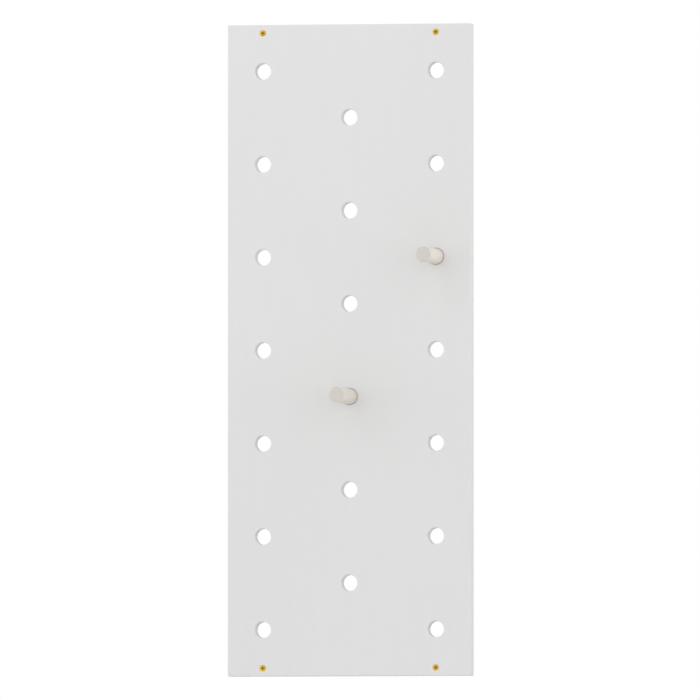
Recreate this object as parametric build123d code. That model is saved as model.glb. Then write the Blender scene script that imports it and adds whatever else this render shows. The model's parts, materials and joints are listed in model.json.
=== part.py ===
from build123d import *
import os

# A peg wall panel: a tall white board with a staggered grid of round holes, held off the wall by two
# wooden battens, with plain dowel pegs that push into any hole. All sizes are in millimetres.
#
# Frame: +Z up, the board faces -Y, and the wall plane is y = 0, where the battens' back faces lie.
# The origin is the middle of the board's outline, on the wall plane.

# Board
BOARD_WIDTH = 380.0
BOARD_HEIGHT = 1000.0
BOARD_THICKNESS = 24.0
BOARD_EDGE_RADIUS = 1.5

# Peg holes: two outer columns of ROWS holes, and a middle column of one fewer, half a pitch down
ROWS = 7
ROW_PITCH = BOARD_HEIGHT / ROWS
COLUMN_PITCH = 135.0
HOLE_DIAMETER = 25.0
HOLE_RIM_RADIUS = 1.5

# Battens behind the board's top and bottom edges
BATTEN_LENGTH = 360.0
BATTEN_HEIGHT = 38.0
BATTEN_DEPTH = 25.0
BATTEN_CHAMFER = 1.0
BATTEN_INSET = 2.5  # how far a batten's outer edge stays inside the board's edge

# Countersunk screws that hold the board to the battens
SCREW_DIAMETER = 5.0
SCREW_HEAD_DIAMETER = 10.0
SCREW_LENGTH = 45.0
SCREW_TIP_LENGTH = 6.0
SCREW_TIP_RADIUS = 0.4
SCREW_EDGE_DISTANCE = 12.5  # from the screw's axis to the board's top or bottom edge
SCREW_CLEARANCE_DIAMETER = 5.2
SCREW_COUNTERSINK_DIAMETER = 10.2
SCREW_PILOT_GAP = 0.02  # around the threaded length, which is drawn at the thread's outer diameter
SCREW_PILOT_SPARE_DEPTH = 0.5

# Cross recess in a screw's head
RECESS_TOP_DIAMETER = 5.2
RECESS_FLOOR_DIAMETER = 2.0
RECESS_DEPTH = 2.6
RECESS_WING_THICKNESS = 1.2

# Holes through the battens for the wall screws
WALL_SCREW_DIAMETER = 5.5
WALL_SCREW_COUNTERSINK_DIAMETER = 11.0
WALL_SCREW_OFFSET = 95.0  # from the middle of the batten

# Pegs
PEG_DIAMETER = 24.4
PEG_LENGTH = 150.0
PEG_END_RADIUS = 1.5
PEG_WALL_GAP = 1.0  # between a peg that is pushed home and the wall
PEG_ROW_UPPER = 2  # rows are counted from the top, from 0
PEG_ROW_LOWER = 3

BOARD_BACK_Y = -BATTEN_DEPTH
BOARD_FRONT_Y = BOARD_BACK_Y - BOARD_THICKNESS
SCREW_HEIGHT = BOARD_HEIGHT / 2 - SCREW_EDGE_DISTANCE
BATTEN_CENTRE_HEIGHT = BOARD_HEIGHT / 2 - BATTEN_INSET - BATTEN_HEIGHT / 2

# With 90 degree heads, the seat's slope is 45 degrees, so a wider countersink sets the head this much deeper
HEAD_SINK = (SCREW_COUNTERSINK_DIAMETER - SCREW_HEAD_DIAMETER) / 2 - SCREW_PILOT_GAP
SCREW_HEAD_Y = BOARD_FRONT_Y + HEAD_SINK


def column_heights(count):
    """The heights of one column's holes, from the top down, evenly pitched about the board's middle."""
    return [((count - 1) / 2 - row) * ROW_PITCH for row in range(count)]


def peg_hole_places():
    """The (x, z) centre of every peg hole."""
    outer = [(side * COLUMN_PITCH, z) for side in (-1, 1) for z in column_heights(ROWS)]
    return outer + [(0, z) for z in column_heights(ROWS - 1)]


def into_wall(x, y, z):
    """A plane at a point of the panel whose own Z axis points from the room into the wall."""
    return Plane(origin=(x, y, z), x_dir=(1, 0, 0), z_dir=(0, 1, 0))


def out_of_wall(x, y, z):
    """A plane at a point of the panel whose own Z axis points from the wall into the room."""
    return Plane(origin=(x, y, z), x_dir=(1, 0, 0), z_dir=(0, -1, 0))


def turned(profile):
    """A solid turned about Z from its half profile, a list of (radius, height) points."""
    return revolve(make_face(Plane.XZ * Polyline(*profile, close=True)), Axis.Z)


def countersunk_hole(diameter, countersink_diameter, depth):
    """A cutter for a 90 degree countersunk hole, from its mouth at 0 up to depth."""
    radius, mouth = diameter / 2, countersink_diameter / 2
    return turned([(0, 0), (mouth, 0), (radius, mouth - radius), (radius, depth), (0, depth)])


def make_board():
    """The board, with its peg holes and screw holes."""
    board = out_of_wall(0, BOARD_BACK_Y, 0) * Box(
        BOARD_WIDTH, BOARD_HEIGHT, BOARD_THICKNESS, align=(Align.CENTER, Align.CENTER, Align.MIN)
    )
    board = fillet(board.edges(), BOARD_EDGE_RADIUS)
    for x, z in peg_hole_places():
        board -= out_of_wall(x, BOARD_BACK_Y, z) * Cylinder(
            HOLE_DIAMETER / 2, BOARD_THICKNESS, align=(Align.CENTER, Align.CENTER, Align.MIN)
        )
    rims = [e for e in board.edges().filter_by(GeomType.CIRCLE) if abs(e.radius - HOLE_DIAMETER / 2) < 0.01]
    board = fillet(rims, HOLE_RIM_RADIUS)
    hole = countersunk_hole(SCREW_CLEARANCE_DIAMETER, SCREW_COUNTERSINK_DIAMETER, BOARD_THICKNESS)
    for side in (-1, 1):
        for end in (-1, 1):
            board -= into_wall(side * COLUMN_PITCH, BOARD_FRONT_Y, end * SCREW_HEIGHT) * hole
    return board


def make_batten(end):
    """The batten behind the board's top edge (end is 1) or bottom edge (end is -1)."""
    centre = end * BATTEN_CENTRE_HEIGHT
    batten = out_of_wall(0, 0, centre) * Box(
        BATTEN_LENGTH, BATTEN_HEIGHT, BATTEN_DEPTH, align=(Align.CENTER, Align.CENTER, Align.MIN)
    )
    batten = chamfer(batten.edges().filter_by(Axis.X), BATTEN_CHAMFER)
    wall_hole = countersunk_hole(WALL_SCREW_DIAMETER, WALL_SCREW_COUNTERSINK_DIAMETER, BATTEN_DEPTH)
    reach = SCREW_HEAD_Y + SCREW_LENGTH - BOARD_BACK_Y + SCREW_PILOT_SPARE_DEPTH
    pilot = Cylinder(
        SCREW_DIAMETER / 2 + SCREW_PILOT_GAP, reach, align=(Align.CENTER, Align.CENTER, Align.MIN)
    )
    for side in (-1, 1):
        batten -= into_wall(side * WALL_SCREW_OFFSET, BOARD_BACK_Y, centre) * wall_hole
        batten -= into_wall(side * COLUMN_PITCH, BOARD_BACK_Y, end * SCREW_HEIGHT) * pilot
    return batten


def cross_recess():
    """A cutter for a cross recess: crossed blades, trimmed to a cone that narrows towards the floor."""
    top, floor = RECESS_TOP_DIAMETER / 2, RECESS_FLOOR_DIAMETER / 2
    cone = turned([(0, 0), (top, 0), (floor, RECESS_DEPTH), (0, RECESS_DEPTH)])
    blade = Box(
        RECESS_TOP_DIAMETER, RECESS_WING_THICKNESS, RECESS_DEPTH, align=(Align.CENTER, Align.CENTER, Align.MIN)
    )
    return cone & (blade + Rot(0, 0, 90) * blade)


def make_screw(side, end):
    """One countersunk wood screw, in its seat in the board and the batten."""
    head, shank = SCREW_HEAD_DIAMETER / 2, SCREW_DIAMETER / 2
    profile = [
        (0, 0),
        (head, 0),
        (shank, head - shank),
        (shank, SCREW_LENGTH - SCREW_TIP_LENGTH),
        (SCREW_TIP_RADIUS, SCREW_LENGTH),
        (0, SCREW_LENGTH),
    ]
    screw = turned(profile) - cross_recess()
    return into_wall(side * COLUMN_PITCH, SCREW_HEAD_Y, end * SCREW_HEIGHT) * screw


def make_peg(x, z):
    """One dowel peg, pushed home through the hole at (x, z)."""
    peg = out_of_wall(x, -PEG_WALL_GAP, z) * Cylinder(
        PEG_DIAMETER / 2, PEG_LENGTH, align=(Align.CENTER, Align.CENTER, Align.MIN)
    )
    return fillet(peg.edges().filter_by(GeomType.CIRCLE), PEG_END_RADIUS)


NODES = {
    "panel_board": make_board(),
    "top_batten": make_batten(1),
    "bottom_batten": make_batten(-1),
    "screw_top_left": make_screw(-1, 1),
    "screw_top_right": make_screw(1, 1),
    "screw_bottom_left": make_screw(-1, -1),
    "screw_bottom_right": make_screw(1, -1),
    "peg_upper": make_peg(COLUMN_PITCH, column_heights(ROWS)[PEG_ROW_UPPER]),
    "peg_lower": make_peg(0, column_heights(ROWS - 1)[PEG_ROW_LOWER]),
}

os.makedirs("parts", exist_ok=True)
for name, shape in NODES.items():
    shape.label = name
    export_step(shape, f"parts/{name}.step")
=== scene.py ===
"""Looks of a peg wall panel: a white lacquered board on two wall battens, with dowel pegs and brass screws.

Everything is in metres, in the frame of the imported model: +Z up, the board faces -Y and the wall is y = 0.
"""

from __future__ import annotations

import json
import logging
import math
from collections.abc import Callable
from dataclasses import dataclass, field
from enum import Enum
from typing import Any

import bmesh
import bpy
from mathutils import Matrix, Vector

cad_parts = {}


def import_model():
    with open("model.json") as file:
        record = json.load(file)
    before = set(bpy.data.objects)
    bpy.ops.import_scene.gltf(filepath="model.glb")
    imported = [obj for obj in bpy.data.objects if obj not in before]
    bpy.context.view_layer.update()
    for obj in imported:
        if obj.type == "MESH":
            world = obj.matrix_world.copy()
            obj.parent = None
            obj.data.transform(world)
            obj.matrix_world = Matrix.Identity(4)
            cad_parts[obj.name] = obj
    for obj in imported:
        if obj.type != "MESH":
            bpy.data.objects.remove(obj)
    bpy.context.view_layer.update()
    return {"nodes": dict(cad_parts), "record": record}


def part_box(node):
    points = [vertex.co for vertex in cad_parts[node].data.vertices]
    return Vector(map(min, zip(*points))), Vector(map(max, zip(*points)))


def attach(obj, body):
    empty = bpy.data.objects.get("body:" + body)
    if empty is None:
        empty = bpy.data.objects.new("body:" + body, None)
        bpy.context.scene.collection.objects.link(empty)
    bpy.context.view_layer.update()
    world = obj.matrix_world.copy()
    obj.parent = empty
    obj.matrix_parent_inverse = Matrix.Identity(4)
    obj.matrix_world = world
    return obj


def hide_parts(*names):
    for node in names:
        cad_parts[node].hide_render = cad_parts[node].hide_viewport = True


log = logging.getLogger("peg_panel")

Triple = tuple[float, float, float]
FACING = 0.9  # the least cosine between a face's normal and the way that it is taken to face


def mm(length: float) -> float:
    """A length in millimetres, as metres."""
    return length / 1000


NEAR = mm(0.01)  # how far from a plane an element may lie and still count as on it


# ---------------------------------------------------------------- shader maths


@dataclass(frozen=True)
class Value:
    """A number that varies over a surface: one socket, with the arithmetic of a plain number."""

    graph: Graph
    socket: bpy.types.NodeSocket

    def _maths(self, operation: str, *numbers: Value | float) -> Value:
        """One Math node.

        Args:
            operation: the node's operation.
            numbers: its inputs, in order.

        Returns:
            The node's result.
        """
        node = self.graph.node("ShaderNodeMath", {"operation": operation}, dict(enumerate(numbers)))
        return Value(self.graph, node.outputs[0])

    def __add__(self, other: Value | float) -> Value:
        """self + other."""
        return self._maths("ADD", self, other)

    def __radd__(self, other: float) -> Value:
        """other + self."""
        return self._maths("ADD", other, self)

    def __sub__(self, other: Value | float) -> Value:
        """self - other."""
        return self._maths("SUBTRACT", self, other)

    def __rsub__(self, other: float) -> Value:
        """other - self."""
        return self._maths("SUBTRACT", other, self)

    def __mul__(self, other: Value | float) -> Value:
        """self * other."""
        return self._maths("MULTIPLY", self, other)

    def __rmul__(self, other: float) -> Value:
        """other * self."""
        return self._maths("MULTIPLY", other, self)

    def __truediv__(self, other: Value | float) -> Value:
        """self / other."""
        return self._maths("DIVIDE", self, other)

    def __pow__(self, power: float) -> Value:
        """self ** power."""
        return self._maths("POWER", self, power)

    def __abs__(self) -> Value:
        """The size of the number, without its sign."""
        return self._maths("ABSOLUTE", self)

    def fraction(self) -> Value:
        """What is left above the whole number below."""
        return self._maths("FRACT", self)

    def sine(self) -> Value:
        """The sine of an angle in radians."""
        return self._maths("SINE", self)

    def least(self, other: Value | float) -> Value:
        """The smaller of the two."""
        return self._maths("MINIMUM", self, other)

    def beyond(self, other: Value | float) -> Value:
        """1 where self is larger than other, else 0."""
        return self._maths("GREATER_THAN", self, other)

    def rise(self, start: float, end: float) -> Value:
        """A smooth step.

        Args:
            start: where the step is still 0.
            end: where it has reached 1. It may be below start, for a step down.

        Returns:
            0 before start, 1 after end and a smooth curve between.
        """
        low, high = min(start, end), max(start, end)
        node = self.graph.node(
            "ShaderNodeMapRange",
            {"interpolation_type": "SMOOTHSTEP"},
            {"Value": self, "From Min": low, "From Max": high, "To Min": 0.0, "To Max": 1.0},
        )
        step = Value(self.graph, node.outputs["Result"])
        return step if end > start else 1 - step


class Graph:
    """The node tree of a material or of the world."""

    def __init__(self, owner: bpy.types.Material | bpy.types.World) -> None:
        """Starts with an empty tree.

        Args:
            owner: the material or world.
        """
        owner.use_nodes = True
        self.owner = owner
        self.tree = owner.node_tree
        self.tree.nodes.clear()
        self.place: bpy.types.NodeSocket | None = None  # the object's own coordinates, in a material only

    @classmethod
    def of_material(cls, name: str) -> Graph:
        """The empty tree of a new material."""
        graph = cls(bpy.data.materials.new(name))
        graph.place = graph.node("ShaderNodeTexCoord").outputs["Object"]
        return graph

    def node(
        self,
        kind: str,
        settings: dict[str, Any] | None = None,
        sockets: dict[str | int, Any] | None = None,
    ) -> bpy.types.Node:
        """Adds one node.

        Args:
            kind: the node's type.
            settings: its properties, set first.
            sockets: a number, a tuple, a socket or a Value for each input, by name or index.

        Returns:
            The node.
        """
        node = self.tree.nodes.new(kind)
        for name, setting in (settings or {}).items():
            setattr(node, name, setting)
        for name, wanted in (sockets or {}).items():
            socket = node.inputs[name]
            if isinstance(wanted, Value):
                wanted = wanted.socket
            if isinstance(wanted, bpy.types.NodeSocket):
                self.tree.links.new(wanted, socket)
            elif socket.type == "RGBA":
                socket.default_value = (*wanted, 1.0)
            else:
                socket.default_value = wanted
        return node

    def axes(self, place: bpy.types.NodeSocket | None = None) -> tuple[Value, Value, Value]:
        """The three coordinates of a place.

        Args:
            place: the place's socket, or None for the object's own coordinates.

        Returns:
            x, y and z.
        """
        node = self.node("ShaderNodeSeparateXYZ", sockets={0: place or self.place})
        return tuple(Value(self, output) for output in node.outputs)

    def moved(self, centre: Vector | Triple, turn: Triple = (0, 0, 0)) -> bpy.types.NodeSocket:
        """Coordinates that count from a centre.

        Args:
            centre: the point that becomes 0.
            turn: a turn about that centre, in radians.

        Returns:
            The coordinates' socket.
        """
        node = self.node(
            "ShaderNodeMapping",
            {"vector_type": "TEXTURE"},
            {"Vector": self.place, "Location": tuple(centre), "Rotation": turn},
        )
        return node.outputs[0]

    def stretched(self, place: bpy.types.NodeSocket, per_metre: Triple) -> bpy.types.NodeSocket:
        """Coordinates with a frequency of their own along each axis.

        Args:
            place: the coordinates to stretch.
            per_metre: how many units of the result a metre makes, along each axis.

        Returns:
            The coordinates' socket.
        """
        node = self.node("ShaderNodeMapping", {"vector_type": "POINT"}, {"Vector": place, "Scale": per_metre})
        return node.outputs[0]

    def noise(
        self, place: bpy.types.NodeSocket, per_unit: float = 1.0, detail: float = 2.0, roughness: float = 0.5
    ) -> Value:
        """Soft noise, from 0 to 1 and mostly near 0.5.

        Args:
            place: its coordinates.
            per_unit: its frequency.
            detail: how many finer layers it has.
            roughness: how strong those layers are.

        Returns:
            The noise.
        """
        node = self.node(
            "ShaderNodeTexNoise",
            {"noise_dimensions": "3D"},
            {"Vector": place, "Scale": per_unit, "Detail": detail, "Roughness": roughness},
        )
        return Value(self, node.outputs[0])

    def cells(self, place: bpy.types.NodeSocket, per_unit: float) -> Value:
        """The distance to the nearest of many scattered points, in the cells' own units.

        Args:
            place: its coordinates.
            per_unit: how many points there are in a unit.

        Returns:
            The distance.
        """
        node = self.node("ShaderNodeTexVoronoi", {"feature": "F1"}, {"Vector": place, "Scale": per_unit})
        return Value(self, node.outputs["Distance"])

    def mix(self, share: Value | float, first: Any, second: Any) -> bpy.types.NodeSocket:
        """Mixes two colours.

        Args:
            share: how much of the second there is, from 0 to 1.
            first: a colour, as a tuple or a socket.
            second: the other colour.

        Returns:
            The mixed colour's socket.
        """
        factor, colour_a, colour_b, colour_result = 0, 6, 7, 2
        node = self.node(
            "ShaderNodeMix",
            {"data_type": "RGBA", "clamp_factor": True},
            {factor: share, colour_a: first, colour_b: second},
        )
        return node.outputs[colour_result]

    def relief(
        self, height: Value, depth: float, over: bpy.types.NodeSocket | None = None
    ) -> bpy.types.NodeSocket:
        """Surface relief.

        Args:
            height: the relief, 0 to 1.
            depth: what a height of 1 measures, in metres.
            over: coarser relief that this one lies on.

        Returns:
            The normal's socket.
        """
        sockets: dict[str | int, Any] = {"Height": height, "Distance": depth, "Strength": 1.0}
        if over is not None:
            sockets["Normal"] = over
        return self.node("ShaderNodeBump", sockets=sockets).outputs[0]

    def surface(self, **inputs: Any) -> bpy.types.Material:
        """Ends the tree in a Principled shader.

        Args:
            inputs: the shader's inputs, with _ for each space in a socket's name.

        Returns:
            The finished material.
        """
        sockets = {name.replace("_", " "): wanted for name, wanted in inputs.items()}
        shader = self.node("ShaderNodeBsdfPrincipled", sockets=sockets)
        self.node("ShaderNodeOutputMaterial", sockets={"Surface": shader.outputs[0]})
        return self.owner


def length_of(*sides: Value) -> Value:
    """The length of a line with these sides at right angles."""
    total = sides[0] * sides[0]
    for side in sides[1:]:
        total = total + side * side
    return total**0.5


# ---------------------------------------------------------------- finishes


@dataclass(frozen=True)
class BoardLayout:
    """Where the board's holes and screws are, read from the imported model."""

    low: Vector
    high: Vector
    hole_radius: float
    column: float
    row_pitch: float
    screw_x: float
    screw_z: float

    @classmethod
    def read(cls, record: dict[str, Any]) -> BoardLayout:
        """Works the layout out from the record's mounts and the nodes' boxes.

        Args:
            record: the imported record.

        Returns:
            The layout.
        """
        low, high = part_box("panel_board")
        holes = [m for m in record["mounts"] if m["kind"] == "bore"]
        column = max(m["pos_m"][0] for m in holes)
        heights = sorted(m["pos_m"][2] for m in holes if m["pos_m"][0] < -column / 2)
        screw_low, screw_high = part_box("screw_top_right")
        screw = (screw_low + screw_high) / 2
        return cls(
            low=low,
            high=high,
            hole_radius=mm(holes[0]["dims"]["r_mm"]),
            column=column,
            row_pitch=heights[1] - heights[0],
            screw_x=screw.x,
            screw_z=screw.z,
        )

    def from_hole(self, x: Value, z: Value) -> Value:
        """The distance from the axis of the nearest peg hole.

        Args:
            x: the place across the board.
            z: the place up the board.

        Returns:
            The distance, in metres.
        """
        pitch = self.row_pitch
        to_row = ((z / pitch + 0.5).fraction() - 0.5) * pitch
        to_half_row = ((z / pitch).fraction() - 0.5) * pitch
        beyond_middle_column = abs(z).beyond(3 * pitch)
        outer = length_of(abs(x) - self.column, to_row)
        return outer.least(length_of(x, to_half_row) + beyond_middle_column)

    def from_screw(self, x: Value, z: Value) -> Value:
        """The distance from the axis of the nearest screw.

        Args:
            x: the place across the board.
            z: the place up the board.

        Returns:
            The distance, in metres.
        """
        return length_of(abs(x) - self.screw_x, abs(z) - self.screw_z)


@dataclass(frozen=True)
class WhiteLacquer:
    """Satin white lacquer, rolled on, over a board of laminated plies."""

    tone: Triple = (0.80, 0.80, 0.80)
    thin_tone: Triple = (0.79, 0.79, 0.789)
    # painted shade for the board's side faces
    edge_shade_tone: Triple = (0.665, 0.66, 0.65)
    # painted shade for the hole walls
    hole_shade_tone: Triple = (0.775, 0.773, 0.765)
    rolled_tone: Triple = (0.76, 0.76, 0.755)
    rubbed_tone: Triple = (0.69, 0.66, 0.60)
    roughness: float = 0.42
    stipple_size: float = mm(1.9)
    stipple_depth: float = mm(0.05)
    speck_spacing: float = mm(14)
    chip_size: float = mm(2.2)
    ply_thickness: float = mm(1.85)
    ply_depth: float = mm(0.06)
    rim_width: float = mm(1.3)
    seat_radius: float = mm(5.3)

    def material(self, layout: BoardLayout) -> bpy.types.Material:
        """Makes the board's material.

        Args:
            layout: the board's holes and screws.

        Returns:
            The material.
        """
        graph = Graph.of_material("white_lacquer")
        x, y, z = graph.axes()
        hole = layout.from_hole(x, z)
        screw = layout.from_screw(x, z)
        to_side = (layout.high.x - abs(x)).least(layout.high.z - abs(z))
        to_face = (y - layout.low.y).least(layout.high.y - y)

        cloud = graph.noise(graph.place, 2.5, detail=1)
        roller = graph.noise(graph.stretched(graph.place, (60, 60, 9)), detail=2)
        stipple = graph.noise(graph.place, 1 / self.stipple_size, detail=2, roughness=0.6)
        speck = graph.cells(graph.place, 1 / self.speck_spacing).rise(0.035, 0.015)
        broken = graph.noise(graph.place, 1 / self.chip_size, detail=3, roughness=0.65)

        # the faces meet the edges and the hole walls at an eased rim, where paint is thin and pegs rub; the
        # hole walls and the side faces also get painted shade, a darker tone standing in for shadow
        core = to_face.rise(mm(0.6), mm(1.4))
        rim = hole.rise(layout.hole_radius + self.rim_width, layout.hole_radius)
        wall = core * hole.rise(layout.hole_radius + mm(0.4), layout.hole_radius)
        edge = core * to_side.rise(mm(0.3), mm(0.1))
        # mask of the board's side faces, which get painted shade
        painted_edge_shade = to_face.rise(mm(0.05), mm(0.8)) * to_side.rise(mm(1.3), mm(0.3))
        corner = to_face.rise(mm(1.5), mm(0.2)) * to_side.rise(mm(1.5), mm(0.2))
        seat = screw.rise(self.seat_radius + mm(0.9), self.seat_radius)
        rubbed = (rim + corner).least(1.0) * broken.rise(0.56, 0.66) + seat * broken.rise(0.45, 0.6)
        rubbed = rubbed.least(1.0)

        colour = graph.mix(cloud.rise(0.4, 0.65), self.tone, self.thin_tone)
        colour = graph.mix(roller.rise(0.35, 0.7) * 0.16, colour, self.rolled_tone)
        # painted shade: the hole walls are mixed toward a darker tone, standing in for the shade inside the
        # holes
        colour = graph.mix(wall * 0.7, colour, self.hole_shade_tone)
        # painted shade: the side faces of the board are mixed toward a darker tone, standing in for shade on
        # them
        colour = graph.mix(painted_edge_shade, colour, self.edge_shade_tone)
        colour = graph.mix(rubbed * 0.3, colour, self.rubbed_tone)
        gloss = self.roughness + (stipple - 0.5) * 0.12 + (wall + edge) * 0.14 + rubbed * 0.15

        # the cut plies show through the paint: each takes it up differently, and every other one is end grain
        ply = y / self.ply_thickness
        ply_take_up = graph.noise(graph.stretched(graph.place, (0, 1 / self.ply_thickness, 0)), detail=0)
        end_grain = (ply * 0.5).fraction().beyond(0.5)
        waver = graph.noise(graph.stretched(graph.place, (30, 0, 30)), detail=2)
        glue_line = abs((ply + waver * 0.22).fraction() - 0.5).rise(0.42, 0.49)
        fibre = graph.noise(graph.stretched(graph.place, (1100, 1500, 1100)), detail=2)
        long_fibre = graph.noise(graph.stretched(graph.place, (90, 2600, 90)), detail=2)
        grain = end_grain * fibre + (1 - end_grain) * long_fibre
        relief = (grain * 0.7 + ply_take_up * 1.2 - glue_line * 0.55) * (wall + edge).least(1.0)
        coarse = graph.relief(relief, self.ply_depth)
        fine = graph.relief(stipple + speck * 0.8, self.stipple_depth, over=coarse)
        return graph.surface(Base_Color=colour, Roughness=gloss, Normal=fine)


@dataclass(frozen=True)
class PaleDowel:
    """Pale close-grained dowel wood, sanded and oiled. The grain runs along Y."""

    heart: Triple
    turn: float
    early: Triple = (0.73, 0.685, 0.625)
    late: Triple = (0.655, 0.59, 0.51)
    streak_tone: Triple = (0.75, 0.715, 0.665)
    fleck_tone: Triple = (0.60, 0.48, 0.37)
    arris_tone: Triple = (0.68, 0.63, 0.56)
    end_tone: Triple = (0.690, 0.668, 0.628)
    end_late: Triple = (0.60, 0.565, 0.51)
    pore_tone: Triple = (0.46, 0.41, 0.35)
    ring_width: float = mm(2.1)
    ring_waver: float = mm(3.2)
    grain_depth: float = mm(0.03)
    roughness: float = 0.5

    def material(self, name: str, low: Vector, high: Vector) -> bpy.types.Material:
        """Makes one peg's material.

        Args:
            name: the material's name.
            low: the peg's lowest corner.
            high: its highest corner.

        Returns:
            The material.
        """
        graph = Graph.of_material(name)
        centre = (low + high) / 2
        place = graph.moved(centre, (0, self.turn, 0))
        x, y, z = graph.axes(place)
        waver = graph.noise(graph.stretched(place, (55, 7, 55)), detail=2)
        from_heart = length_of(x - self.heart[0], z - self.heart[2]) + (waver - 0.5) * self.ring_waver
        ring = (from_heart / self.ring_width).fraction()
        late_wood = ring.rise(0.4, 0.9) * ring.rise(1.0, 0.92)

        fibre = graph.noise(graph.stretched(place, (1500, 26, 1500)), detail=2)
        streak = graph.noise(graph.stretched(place, (260, 5, 260)), detail=2)
        fleck = graph.noise(graph.stretched(place, (2100, 330, 2100)), detail=0).rise(0.64, 0.74)
        pores = graph.cells(graph.stretched(place, (2300, 60, 2300)), 1.0).rise(0.34, 0.12)

        half = (high.y - low.y) / 2
        to_end = half - abs(y)
        end_grain = to_end.rise(mm(0.9), mm(0.25))
        arris = to_end.rise(mm(2.4), mm(0.5)) * (1 - end_grain)

        colour = graph.mix(late_wood * 0.6, self.early, self.late)
        colour = graph.mix(fibre.rise(0.3, 0.75) * 0.4, colour, self.late)
        colour = graph.mix(streak.rise(0.42, 0.7) * 0.35, colour, self.streak_tone)
        colour = graph.mix(fleck * (1 - end_grain) * 0.45, colour, self.fleck_tone)
        end = graph.mix(late_wood * 0.45, self.end_tone, self.end_late)
        end = graph.mix(pores * 0.3, end, self.pore_tone)
        colour = graph.mix(end_grain, colour, end)
        colour = graph.mix(arris * fibre.rise(0.4, 0.7) * 0.3, colour, self.arris_tone)
        gloss = self.roughness + (fibre - 0.5) * 0.16 + end_grain * 0.2

        grooves = graph.relief(fibre - fleck * 0.5 - pores * end_grain, self.grain_depth)
        rings = graph.relief(late_wood, self.grain_depth, over=grooves)
        return graph.surface(Base_Color=colour, Roughness=gloss, Normal=rings, Specular_IOR_Level=0.4)


@dataclass(frozen=True)
class BattenPine:
    """Planed softwood. The grain runs along X."""

    heart: Triple
    knots: tuple[Triple, ...]
    early: Triple = (0.68, 0.49, 0.29)
    late: Triple = (0.50, 0.29, 0.12)
    streak_tone: Triple = (0.74, 0.56, 0.36)
    knot_wood_tone: Triple = (0.36, 0.18, 0.075)
    knot_tone: Triple = (0.20, 0.09, 0.04)
    end_tone: Triple = (0.42, 0.28, 0.15)
    arris_tone: Triple = (0.60, 0.42, 0.24)
    ring_width: float = mm(3.6)
    ring_waver: float = mm(11)
    knot_ring_width: float = mm(0.9)
    chatter_pitch: float = mm(1.6)
    chatter_depth: float = mm(0.02)
    grain_depth: float = mm(0.06)
    roughness: float = 0.6

    def material(self, name: str, low: Vector, high: Vector) -> bpy.types.Material:
        """Makes one batten's material.

        Args:
            name: the material's name.
            low: the batten's lowest corner.
            high: its highest corner.

        Returns:
            The material.
        """
        graph = Graph.of_material(name)
        place = graph.moved((low + high) / 2)
        x, y, z = graph.axes(place)
        waver = graph.noise(graph.stretched(place, (6, 34, 34)), detail=3)
        from_heart = length_of(y - self.heart[1], z - self.heart[2]) + (waver - 0.5) * self.ring_waver

        # rings bend round each knot, which is a branch that runs through the batten from front to back
        knot_wood, knot_rim, knot_rings = 0.0, 0.0, 0.0
        for knot_x, knot_z, knot_radius in self.knots:
            off = length_of((x - knot_x) * 0.8, z - knot_z) + (waver - 0.5) * mm(4)
            from_heart = from_heart + off.rise(knot_radius * 4, 0.0) * mm(7)
            inside = off.rise(knot_radius, knot_radius * 0.86)
            knot_wood = inside + knot_wood
            knot_rim = inside * off.rise(knot_radius * 0.7, knot_radius) + knot_rim
            knot_rings = inside * (off / self.knot_ring_width).fraction() + knot_rings

        ring = (from_heart / self.ring_width).fraction()
        late_wood = ring.rise(0.3, 0.9) * ring.rise(1.0, 0.94)
        fibre = graph.noise(graph.stretched(place, (30, 1300, 1300)), detail=3, roughness=0.6)
        streak = graph.noise(graph.stretched(place, (4, 160, 160)), detail=2)
        chatter = (x / self.chatter_pitch * math.tau).sine()

        to_end = (high.x - low.x) / 2 - abs(x)
        end_grain = to_end.rise(mm(0.5), mm(0.1))
        across = (high.z - low.z) / 2 - abs(z)
        arris = across.rise(mm(1.6), mm(0.4))

        colour = graph.mix(late_wood * 0.75, self.early, self.late)
        colour = graph.mix(streak.rise(0.4, 0.7) * 0.35, colour, self.streak_tone)
        colour = graph.mix((fibre - 0.35) * 0.4, colour, self.late)
        colour = graph.mix(knot_wood.least(1.0), colour, self.knot_wood_tone)
        colour = graph.mix((knot_rim + knot_rings * 0.35).least(1.0) * 0.85, colour, self.knot_tone)
        colour = graph.mix(end_grain * 0.5, colour, self.end_tone)
        colour = graph.mix(arris * 0.25, colour, self.arris_tone)
        gloss = self.roughness + (fibre - 0.5) * 0.2 - late_wood * 0.08

        planed = graph.relief(chatter * 0.5 + 0.5, self.chatter_depth)
        raised = graph.relief(late_wood + fibre * 0.8, self.grain_depth, over=planed)
        return graph.surface(Base_Color=colour, Roughness=gloss, Normal=raised, Specular_IOR_Level=0.4)


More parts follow.
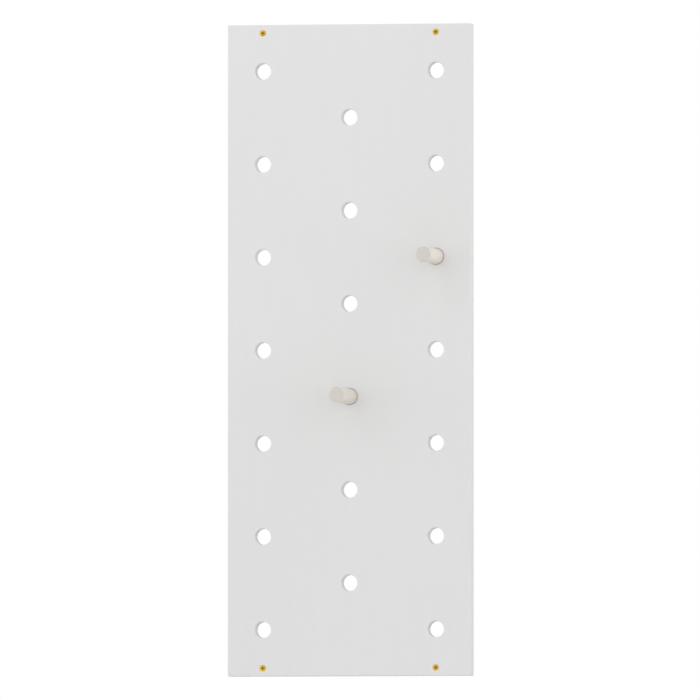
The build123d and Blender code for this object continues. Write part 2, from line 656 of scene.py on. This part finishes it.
@dataclass(frozen=True)
class AgedBrass:
    """Turned brass that has begun to dull. The piece's axis runs along Y."""

    bright: Triple = (0.94, 0.60, 0.07)
    dull: Triple = (0.70, 0.41, 0.04)
    # a dark tone for the driver's recess: grime, and painted shade
    recess_grime_and_shade: Triple = (0.16, 0.085, 0.02)
    roughness: float = 0.27
    turning_pitch: float = mm(0.16)
    tarnish_size: float = mm(2.6)
    speckle_size: float = mm(0.35)
    waver_size: float = mm(1.2)
    mark_depth: float = mm(0.007)

    def material(
        self, name: str, head: Vector, recess_radius: float, recess_depth: float
    ) -> bpy.types.Material:
        """Makes one screw's material.

        Args:
            name: the material's name.
            head: the middle of the head's face.
            recess_radius: how far the driver's recess reaches from the axis.
            recess_depth: how deep it is.

        Returns:
            The material.
        """
        graph = Graph.of_material(name)
        place = graph.moved(head)
        x, y, z = graph.axes(place)
        radius = length_of(x, z)
        tarnish = graph.noise(place, 1 / self.tarnish_size, detail=2)
        speckle = graph.noise(place, 1 / self.speckle_size, detail=2).rise(0.62, 0.72)
        scratch = graph.noise(graph.stretched(graph.moved(head, (0, 0.6, 0)), (500, 500, 9000)), detail=1)
        waver = graph.noise(place, 1 / self.waver_size, detail=1)
        turning = (radius / self.turning_pitch * math.tau + waver * 5).sine()
        inside = y.rise(mm(0.08), recess_depth * 0.5) * radius.rise(recess_radius + mm(0.3), recess_radius)
        old = (tarnish.rise(0.45, 0.65) * 0.35 + speckle * 0.25 + (turning * 0.5 + 0.5) * 0.12).least(1.0)
        colour = graph.mix(old, self.bright, self.dull)
        # the driver's recess is painted dark: grime, and painted shade where the recess lies in shadow
        colour = graph.mix(inside * 0.8, colour, self.recess_grime_and_shade)
        gloss = self.roughness + (tarnish - 0.5) * 0.12 + speckle * 0.08 + inside * 0.25
        marks = graph.relief(turning * 0.35 + scratch, self.mark_depth)
        return graph.surface(Base_Color=colour, Metallic=1.0, Roughness=gloss, Normal=marks)


# ---------------------------------------------------------------- modelling


class Bench:
    """The modelling operators that the pieces share, each on one object at a time."""

    @staticmethod
    def clear() -> None:
        """Deselects everything."""
        for chosen in bpy.context.selected_objects:
            chosen.select_set(False)

    @staticmethod
    def take(piece: bpy.types.Object) -> None:
        """Makes one object the only selected one, and the active one."""
        Bench.clear()
        piece.select_set(True)
        bpy.context.view_layer.objects.active = piece

    @staticmethod
    def settle(piece: bpy.types.Object, name: str) -> bpy.types.Object:
        """Puts an object's place into its mesh.

        Args:
            piece: the object.
            name: its new name.

        Returns:
            The same object, at the origin, unturned and unscaled.
        """
        Bench.take(piece)
        piece.name = name
        piece.data.name = name
        bpy.ops.object.transform_apply(location=True, rotation=True, scale=True)
        return piece

    @staticmethod
    def pick(kind: str, test: Callable[[Any], bool]) -> None:
        """Selects elements of the mesh in edit mode.

        Args:
            kind: "verts", "edges" or "faces".
            test: tells from an element whether to select it.
        """
        bpy.ops.mesh.select_mode(type={"verts": "VERT", "edges": "EDGE", "faces": "FACE"}[kind])
        bpy.ops.mesh.select_all(action="DESELECT")
        mesh = bmesh.from_edit_mesh(bpy.context.object.data)
        for element in getattr(mesh, kind):
            if test(element):
                element.select_set(True)
        mesh.select_flush_mode()
        bmesh.update_edit_mesh(bpy.context.object.data)

    @staticmethod
    def apply(piece: bpy.types.Object, kind: str, **settings: Any) -> None:
        """Adds a modifier and applies it.

        Args:
            piece: the object.
            kind: the modifier's type.
            settings: the modifier's properties.
        """
        Bench.take(piece)
        modifier = piece.modifiers.new(kind.lower(), kind)
        for name, setting in settings.items():
            setattr(modifier, name, setting)
        bpy.ops.object.modifier_apply(modifier=modifier.name)

    @staticmethod
    def combine(piece: bpy.types.Object, tool: bpy.types.Object, operation: str) -> None:
        """Cuts a piece with a tool, or joins the tool to it, and removes the tool.

        Args:
            piece: the piece.
            tool: the other solid.
            operation: "DIFFERENCE" or "UNION".
        """
        Bench.apply(piece, "BOOLEAN", object=tool, operation=operation, solver="EXACT")
        bpy.data.objects.remove(tool)

    @staticmethod
    def smooth(piece: bpy.types.Object, angle: float) -> None:
        """Shades a piece smooth, except across edges sharper than the angle, in degrees."""
        Bench.take(piece)
        bpy.ops.object.shade_smooth_by_angle(angle=math.radians(angle))

    @staticmethod
    def dress(piece: bpy.types.Object, material: bpy.types.Material) -> None:
        """Gives a piece one material all over."""
        piece.data.materials.clear()
        piece.data.materials.append(material)


@dataclass
class PegBoard:
    """The white board with its staggered peg holes."""

    layout: BoardLayout
    node: bpy.types.Object
    finish: WhiteLacquer = field(default_factory=WhiteLacquer)

    def dress(self) -> None:
        """Lacquers the board."""
        Bench.dress(self.node, self.finish.material(self.layout))
        log.info("%s: lacquered", self.node.name)


@dataclass
class WallBatten:
    """A softwood strip that stands the board off the wall."""

    node: bpy.types.Object
    finish: BattenPine

    def dress(self) -> None:
        """Gives the batten its grain."""
        low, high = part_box(self.node.name)
        Bench.dress(self.node, self.finish.material(f"pine_{self.node.name}", low, high))
        log.info("%s: planed pine", self.node.name)


@dataclass
class DowelPeg:
    """A dowel with softened, slightly crowned ends and the faint unevenness that sanding leaves."""

    node: str
    body: str
    finish: PaleDowel
    around: int = 96
    along: int = 70
    end_radius: float = mm(1.5)
    end_segments: int = 6
    end_rings: int = 6
    crown: float = mm(0.18)
    long_edge: float = mm(20)
    smooth_angle: float = 50
    sanding: float = mm(0.09)
    sanding_size: float = mm(16)

    def build(self) -> bpy.types.Object:
        """Models the peg where its node lies.

        Returns:
            The peg.
        """
        low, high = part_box(self.node)
        centre, radius, length = (low + high) / 2, (high.x - low.x) / 2, high.y - low.y
        Bench.clear()
        bpy.ops.mesh.primitive_cylinder_add(
            vertices=self.around,
            radius=radius - self.sanding / 2,
            depth=length - 2 * self.crown,
            location=centre,
            rotation=(math.pi / 2, 0, 0),
        )
        peg = Bench.settle(bpy.context.object, f"{self.node}_dowel")
        bpy.ops.object.mode_set(mode="EDIT")
        self._soften_ends(centre.y, length / 2 - self.crown)
        self._crown_ends(centre, radius, length / 2 - self.crown)
        self._divide_length()
        bpy.ops.object.mode_set(mode="OBJECT")
        self._sand(peg)
        Bench.smooth(peg, self.smooth_angle)
        return peg

    def _soften_ends(self, middle: float, half: float) -> None:
        """Rounds the edge of each end.

        Args:
            middle: the peg's middle, along Y.
            half: half its length.
        """
        for side in (-1, 1):
            plane = middle + side * half
            Bench.pick("edges", lambda e, y=plane: all(abs(v.co.y - y) < NEAR for v in e.verts))
            bpy.ops.mesh.bevel(offset=self.end_radius, segments=self.end_segments, profile=0.5)

    def _crown_ends(self, centre: Vector, radius: float, half: float) -> None:
        """Insets rings in each end and lifts them a little towards the middle.

        Args:
            centre: the peg's middle.
            radius: its radius.
            half: half its length.
        """
        for side in (-1, 1):
            plane = centre.y + side * half
            Bench.pick("faces", lambda f, y=plane: abs(f.calc_center_median().y - y) < NEAR)
            ring = (radius - self.end_radius) / (self.end_rings + 0.7)
            lift = 2 * self.crown / (self.end_rings * (self.end_rings + 1))
            for step in range(self.end_rings):
                bpy.ops.mesh.inset(thickness=ring)
                bpy.ops.transform.translate(value=(0, side * lift * (self.end_rings - step), 0))
            bpy.ops.mesh.poke()

    def _divide_length(self) -> None:
        """Divides the long edges, so that the surface can waver."""
        Bench.pick("edges", lambda e: abs(e.verts[0].co.y - e.verts[1].co.y) > self.long_edge)
        bpy.ops.mesh.subdivide(number_cuts=self.along)

    def _sand(self, peg: bpy.types.Object) -> None:
        """Wavers the surface by less than a tenth of a millimetre.

        Args:
            peg: the peg.
        """
        texture = bpy.data.textures.new("hand_sanding", "CLOUDS")
        texture.noise_scale = self.sanding_size
        Bench.apply(peg, "DISPLACE", texture=texture, strength=self.sanding, mid_level=0.5)

    def dress(self, peg: bpy.types.Object) -> None:
        """Gives the peg its grain, and puts it in place of its node.

        Args:
            peg: the peg.
        """
        low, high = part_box(self.node)
        Bench.dress(peg, self.finish.material(f"dowel_{self.node}", low, high))
        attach(peg, self.body)
        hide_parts(self.node)
        log.info("%s: on %s", peg.name, self.body)


class Corner(Enum):
    """The board's four screws, by node name, with how far each was turned when it was tight."""

    TOP_LEFT = ("screw_top_left", 18)
    TOP_RIGHT = ("screw_top_right", 61)
    BOTTOM_LEFT = ("screw_bottom_left", 83)
    BOTTOM_RIGHT = ("screw_bottom_right", 37)


@dataclass
class WoodScrew:
    """A countersunk brass wood screw with a cross recess and a cut thread.

    It is modelled along +Z, with the face of its head at 0.
    """

    length: float
    head_radius: float
    around: int = 48
    head_land: float = mm(0.2)
    shank_radius: float = mm(2.25)
    core_radius: float = mm(1.6)
    thread_radius: float = mm(2.47)
    smooth_shank: float = mm(14)
    tip_length: float = mm(6)
    thread_pitch: float = mm(2.0)
    thread_height: float = 0.62
    tip_share: float = 0.06
    tip_steps: int = 12
    recess_width: float = mm(5.2)
    recess_floor: float = mm(2.1)
    recess_depth: float = mm(2.6)
    wing: float = mm(1.2)
    driver_above: float = mm(0.5)
    edge_ease: float = mm(0.12)
    smooth_angle: float = 32
    finish: AgedBrass = field(default_factory=AgedBrass)

    def build(self) -> bpy.types.Object:
        """Models one screw at the origin.

        Returns:
            The screw.
        """
        screw = self._turned_blank()
        Bench.combine(screw, self._thread(), "UNION")
        self._point(screw)
        Bench.combine(screw, self._driver(), "DIFFERENCE")
        Bench.take(screw)
        bpy.ops.object.mode_set(mode="EDIT")
        bpy.ops.mesh.select_all(action="SELECT")
        bpy.ops.mesh.remove_doubles(threshold=mm(0.002))
        bpy.ops.mesh.normals_make_consistent(inside=False)
        bpy.ops.object.mode_set(mode="OBJECT")
        Bench.smooth(screw, self.smooth_angle)
        return screw

    def _turned_blank(self) -> bpy.types.Object:
        """The head, the smooth shank and the core that the thread stands on.

        Returns:
            The blank.
        """
        Bench.clear()
        bpy.ops.mesh.primitive_cylinder_add(
            vertices=self.around,
            radius=self.head_radius,
            depth=self.head_land,
            location=(0, 0, self.head_land / 2),
        )
        blank = Bench.settle(bpy.context.object, "screw_blank")
        bpy.ops.object.mode_set(mode="EDIT")
        Bench.pick("faces", lambda f: f.normal.z > FACING)
        cone = self.head_radius - self.shank_radius
        core = self.length - self.smooth_shank - self.tip_length
        radius = self.head_radius
        for step, end_radius in (
            (cone - self.head_land, self.shank_radius),
            (self.smooth_shank - cone, self.shank_radius),
            (self.shank_radius - self.core_radius, self.core_radius),
            (core, self.core_radius),
            (self.tip_length - (self.shank_radius - self.core_radius), self.core_radius),
        ):
            bpy.ops.mesh.extrude_region_move(TRANSFORM_OT_translate={"value": (0, 0, step)})
            share = end_radius / radius
            bpy.ops.transform.resize(value=(share, share, 1), center_override=(0, 0, 0))
            radius = end_radius
        Bench.pick("edges", lambda e: all(v.co.z < NEAR for v in e.verts))
        bpy.ops.mesh.bevel(offset=self.edge_ease, segments=3, profile=0.5)
        bpy.ops.object.mode_set(mode="OBJECT")
        return blank

    def _thread(self) -> bpy.types.Object:
        """The thread's helical ridge, as a closed solid whose root lies inside the core.

        Returns:
            The ridge.
        """
        depth = self.thread_radius - self.core_radius
        turns = int((self.length - self.smooth_shank) / self.thread_pitch) - 1
        start = self.smooth_shank + self.thread_pitch
        Bench.clear()
        bpy.ops.mesh.primitive_circle_add(
            vertices=4,
            radius=depth,
            location=(self.core_radius, 0, start),
            rotation=(math.pi / 2, 0, 0),
        )
        ridge = Bench.settle(bpy.context.object, "screw_ridge")
        bpy.ops.object.mode_set(mode="EDIT")
        bpy.ops.mesh.select_all(action="SELECT")
        bpy.ops.transform.resize(value=(1, 1, self.thread_height), center_override=(0, 0, start))
        bpy.ops.object.mode_set(mode="OBJECT")
        Bench.apply(
            ridge,
            "SCREW",
            axis="Z",
            angle=math.tau,
            screw_offset=self.thread_pitch,
            iterations=turns,
            steps=self.around // 2,
            render_steps=self.around // 2,
            use_merge_vertices=False,
        )
        bpy.ops.object.mode_set(mode="EDIT")
        bpy.ops.mesh.select_all(action="SELECT")
        bpy.ops.mesh.remove_doubles(threshold=mm(0.001))
        bpy.ops.mesh.fill_holes(sides=4)
        bpy.ops.mesh.select_all(action="SELECT")
        bpy.ops.mesh.normals_make_consistent(inside=False)
        bpy.ops.object.mode_set(mode="OBJECT")
        return ridge

    def _point(self, screw: bpy.types.Object) -> None:
        """Draws the last few millimetres in to a point, ridge and core together.

        Args:
            screw: the screw.
        """
        Bench.take(screw)
        bpy.ops.object.mode_set(mode="EDIT")
        steps = self.tip_steps
        for step in range(1, steps + 1):
            start = self.length - self.tip_length * (1 - (step - 1) / steps)
            before = 1 - (1 - self.tip_share) * (step - 1) / steps
            after = 1 - (1 - self.tip_share) * step / steps
            Bench.pick("verts", lambda v, z=start: v.co.z > z + mm(0.001))
            bpy.ops.transform.resize(value=(after / before, after / before, 1), center_override=(0, 0, 0))
        bpy.ops.object.mode_set(mode="OBJECT")

    def _driver(self) -> bpy.types.Object:
        """The cutter for the cross recess: four wings that narrow towards the floor.

        Returns:
            The cutter.
        """
        Bench.clear()
        bpy.ops.mesh.primitive_cube_add(size=1, location=(0, 0, (self.recess_depth - self.driver_above) / 2))
        cutter = bpy.context.object
        cutter.scale = (self.wing, self.wing, self.recess_depth + self.driver_above)
        cutter = Bench.settle(cutter, "screw_driver")
        bpy.ops.object.mode_set(mode="EDIT")
        reach = (self.recess_width - self.wing) / 2
        for direction in (Vector((1, 0, 0)), Vector((0, 1, 0)), Vector((-1, 0, 0)), Vector((0, -1, 0))):
            Bench.pick(
                "faces",
                lambda f, d=direction: f.normal.dot(d) > FACING
                and (f.calc_center_median().xy - d.xy * self.wing / 2).length < mm(0.1),
            )
            bpy.ops.mesh.extrude_region_move(TRANSFORM_OT_translate={"value": direction * reach})
        floor = self.recess_floor / self.recess_width
        Bench.pick("verts", lambda v: v.co.z > mm(0.1))
        bpy.ops.transform.resize(value=(floor, floor, 1), center_override=(0, 0, 0))
        bpy.ops.object.mode_set(mode="OBJECT")
        return cutter

    def place(self, model: bpy.types.Object, corner: Corner) -> None:
        """Copies the screw into one corner, dresses it and puts it in place of its node.

        Args:
            model: the screw at the origin.
            corner: which corner.
        """
        node, turned = corner.value
        low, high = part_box(node)
        head = Vector(((low.x + high.x) / 2, low.y, (low.z + high.z) / 2))
        mesh = model.data.copy()
        into_wall = Matrix.Rotation(-math.pi / 2, 4, "X")
        mesh.transform(Matrix.Translation(head) @ into_wall @ Matrix.Rotation(math.radians(turned), 4, "Z"))
        screw = bpy.data.objects.new(f"{node}_brass", mesh)
        bpy.context.scene.collection.objects.link(screw)
        brass = self.finish.material(f"brass_{node}", head, self.recess_width / 2, self.recess_depth)
        Bench.dress(screw, brass)
        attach(screw, "panel")
        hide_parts(node)
        log.info("%s: on panel", screw.name)


# ---------------------------------------------------------------- studio


@dataclass
class Studio:
    """A pale floor, soft light from the upper left and a long lens."""

    board: BoardLayout
    distance: float = 40.0
    azimuth: float = 10.95
    elevation: float = -2.0
    board_share: float = 0.9315
    aim_right: float = mm(1.3)
    sensor_width: float = 36.0
    view_depth: float = 60.0
    key_place: Triple = (-1.0, -2.4, 2.2)
    key_size: float = 2.0
    key_power: float = 7.0
    floor_drop: float = 0.28
    floor_radius: float = 3.0
    floor_tone: Triple = (0.82, 0.82, 0.815)
    floor_cloud_tone: Triple = (0.80, 0.80, 0.80)
    sky: float = 0.605
    sky_sides: float = 1.12
    sky_above: float = 0.12

    def camera(self) -> None:
        """Aims the camera at the middle of the board's face, to the right of straight on and a little low."""
        lens = bpy.data.cameras.new("camera")
        camera = bpy.data.objects.new("camera", lens)
        bpy.context.scene.collection.objects.link(camera)
        around, up = math.radians(self.azimuth), math.radians(self.elevation)
        back = Vector((math.sin(around) * math.cos(up), -math.cos(around) * math.cos(up), math.sin(up)))
        target = Vector((self.aim_right, self.board.low.y, 0))
        camera.location = target + back * self.distance
        camera.rotation_euler = back.to_track_quat("Z", "Y").to_euler()
        frame_height = (self.board.high.z - self.board.low.z) / self.board_share
        lens.sensor_width = self.sensor_width
        lens.lens = lens.sensor_width * self.distance / frame_height
        lens.clip_end = self.view_depth
        bpy.context.scene.camera = camera

    def world(self) -> None:
        """A white background, which lights the object more softly than it shows, and most from both sides."""
        world = bpy.data.worlds.new("studio")
        bpy.context.scene.world = world
        graph = Graph(world)
        x, y, z = graph.axes(graph.node("ShaderNodeTexCoord").outputs["Generated"])
        strength = self.sky + x * x * self.sky_sides + z * self.sky_above
        seen, light = (
            graph.node("ShaderNodeBackground", sockets={"Color": (1, 1, 1), "Strength": power})
            for power in (1.0, strength)
        )
        ray = graph.node("ShaderNodeLightPath").outputs["Is Camera Ray"]
        mix = graph.node("ShaderNodeMixShader", sockets={0: ray, 1: light.outputs[0], 2: seen.outputs[0]})
        graph.node("ShaderNodeOutputWorld", sockets={0: mix.outputs[0]})

    def lamp(self, name: str, place: Triple, size: float, power: float) -> None:
        """Adds a soft square light, aimed at the middle of the board.

        Args:
            name: the light's name.
            place: where it is.
            size: the length of its side.
            power: its power, in watts.
        """
        light = bpy.data.lights.new(name, "AREA")
        light.size, light.energy = size, power
        lamp = bpy.data.objects.new(name, light)
        bpy.context.scene.collection.objects.link(lamp)
        lamp.location = place
        lamp.rotation_euler = Vector(place).to_track_quat("Z", "Y").to_euler()

    def floor(self) -> None:
        """A pale round floor, well below the hanging panel."""
        Bench.clear()
        bpy.ops.mesh.primitive_circle_add(
            vertices=128,
            radius=self.floor_radius,
            fill_type="NGON",
            location=(0, 0, self.board.low.z - self.floor_drop),
        )
        floor = Bench.settle(bpy.context.object, "floor")
        graph = Graph.of_material("pale_floor")
        cloud = graph.noise(graph.place, 1.2, detail=3)
        colour = graph.mix(cloud.rise(0.35, 0.65), self.floor_tone, self.floor_cloud_tone)
        Bench.dress(floor, graph.surface(Base_Color=colour, Roughness=0.7))

    def build(self) -> None:
        """Sets up the whole studio."""
        self.camera()
        self.world()
        self.lamp("key", self.key_place, self.key_size, self.key_power)
        self.floor()
        bpy.context.scene.view_settings.view_transform = "Standard"
        log.info("studio: ready")


# ---------------------------------------------------------------- the panel


def main() -> None:
    """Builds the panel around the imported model."""
    logging.basicConfig(level=logging.INFO, format="%(name)s: %(message)s")
    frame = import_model()
    layout = BoardLayout.read(frame["record"])
    Studio(layout).build()

    PegBoard(layout, frame["nodes"]["panel_board"]).dress()
    WallBatten(
        frame["nodes"]["top_batten"],
        BattenPine(heart=(0, mm(48), mm(-14)), knots=((mm(-62), mm(5), mm(5)), (mm(128), mm(-8), mm(3.5)))),
    ).dress()
    WallBatten(
        frame["nodes"]["bottom_batten"],
        BattenPine(heart=(0, mm(-36), mm(30)), knots=((mm(31), mm(-4), mm(6)), (mm(-147), mm(7), mm(3)))),
    ).dress()

    screw_low, screw_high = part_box("screw_top_left")
    wood_screw = WoodScrew(
        length=screw_high.y - screw_low.y, head_radius=(screw_high.x - screw_low.x) / 2
    )
    model = wood_screw.build()
    for corner in Corner:
        wood_screw.place(model, corner)
    bpy.data.objects.remove(model)

    for peg in (
        DowelPeg("peg_upper", "upper_peg", PaleDowel(heart=(mm(16), 0, mm(9)), turn=0.7)),
        DowelPeg("peg_lower", "lower_peg", PaleDowel(heart=(mm(-6), 0, mm(21)), turn=2.4)),
    ):
        peg.dress(peg.build())


if __name__ == "__main__":
    main()
